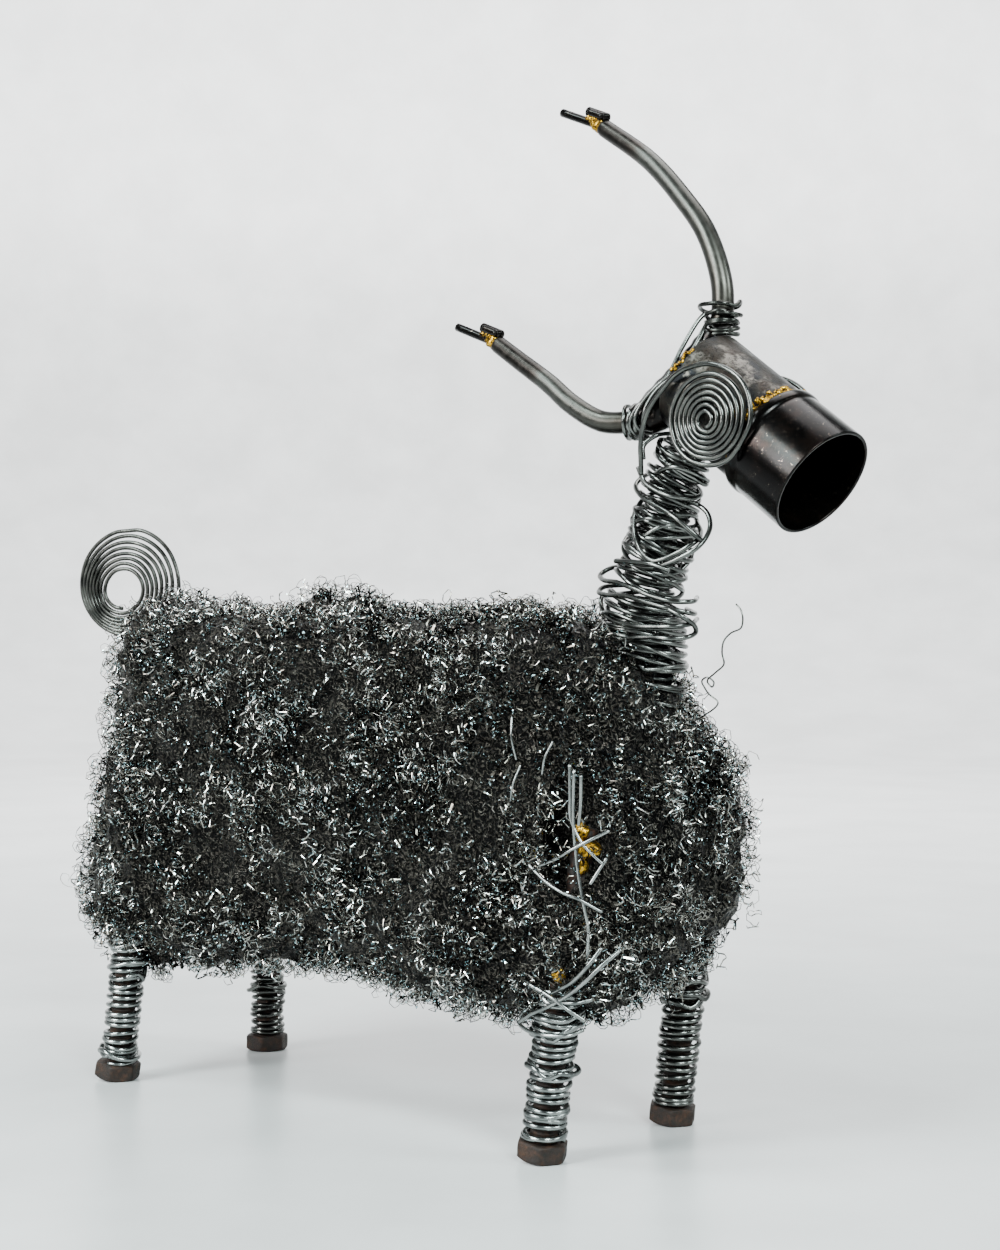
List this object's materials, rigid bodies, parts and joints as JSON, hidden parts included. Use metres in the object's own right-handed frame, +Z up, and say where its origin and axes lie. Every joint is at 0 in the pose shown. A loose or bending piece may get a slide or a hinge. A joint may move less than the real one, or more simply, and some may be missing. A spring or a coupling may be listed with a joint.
{
  "type": "scrap metal ram sculpture",
  "caption": "Standing ram of scrap metal: wire-bound bolt legs, a long fleece of curled metal wool, pipe head with an open cup muzzle, swept-back rod horns, spiral wire ears and coiled tail.",
  "frame": {"origin": "on the floor, under the middle of the bounding box", "axes": "+X towards the muzzle, +Y to the ram's left, +Z up"},
  "size_m": [0.3092, 0.0934, 0.2997],
  "materials": {
    "galvanised_wire": "satin",
    "rusted_bolt": "matte",
    "metal_wool": "satin",
    "heated_pipe": "matte",
    "blackened_steel": "satin",
    "horn_steel": "satin",
    "brazing_brass": "gloss"
  },
  "bodies": {
    "root": {"hoof_bolt_front_right": "rusted_bolt", "leg_binding_front_right": "galvanised_wire", "hoof_bolt_front_left": "rusted_bolt", "leg_binding_front_left": "galvanised_wire", "hoof_bolt_rear_right": "rusted_bolt", "leg_binding_rear_right": "galvanised_wire", "hoof_bolt_rear_left": "rusted_bolt", "leg_binding_rear_left": "galvanised_wire", "shoulder_post": "rusted_bolt", "shoulder_braze_upper": "brazing_brass", "shoulder_braze_lower": "brazing_brass", "skull_pipe": "heated_pipe", "muzzle_collar": "blackened_steel", "muzzle_braze": "brazing_brass", "horn_yoke": "blackened_steel", "horn_left": "horn_steel", "horn_right": "horn_steel", "horn_long_pin_left": "blackened_steel", "horn_short_pin_left": "blackened_steel", "horn_tip_braze_left": "brazing_brass", "horn_binding_left": "galvanised_wire", "horn_long_pin_right": "blackened_steel", "horn_short_pin_right": "blackened_steel", "horn_tip_braze_right": "brazing_brass", "horn_binding_right": "galvanised_wire", "horn_tie_wire": "galvanised_wire", "neck_winding": "galvanised_wire", "ear_right": "galvanised_wire", "ear_left": "galvanised_wire", "tail_coil": "galvanised_wire", "fleece": "metal_wool", "loose_curl": "metal_wool", "shoulder_wire_long": "galvanised_wire", "shoulder_wire_cross": "galvanised_wire", "shoulder_wire_lower": "galvanised_wire", "shoulder_wire_leg": "galvanised_wire"}
  },
  "joints": []
}
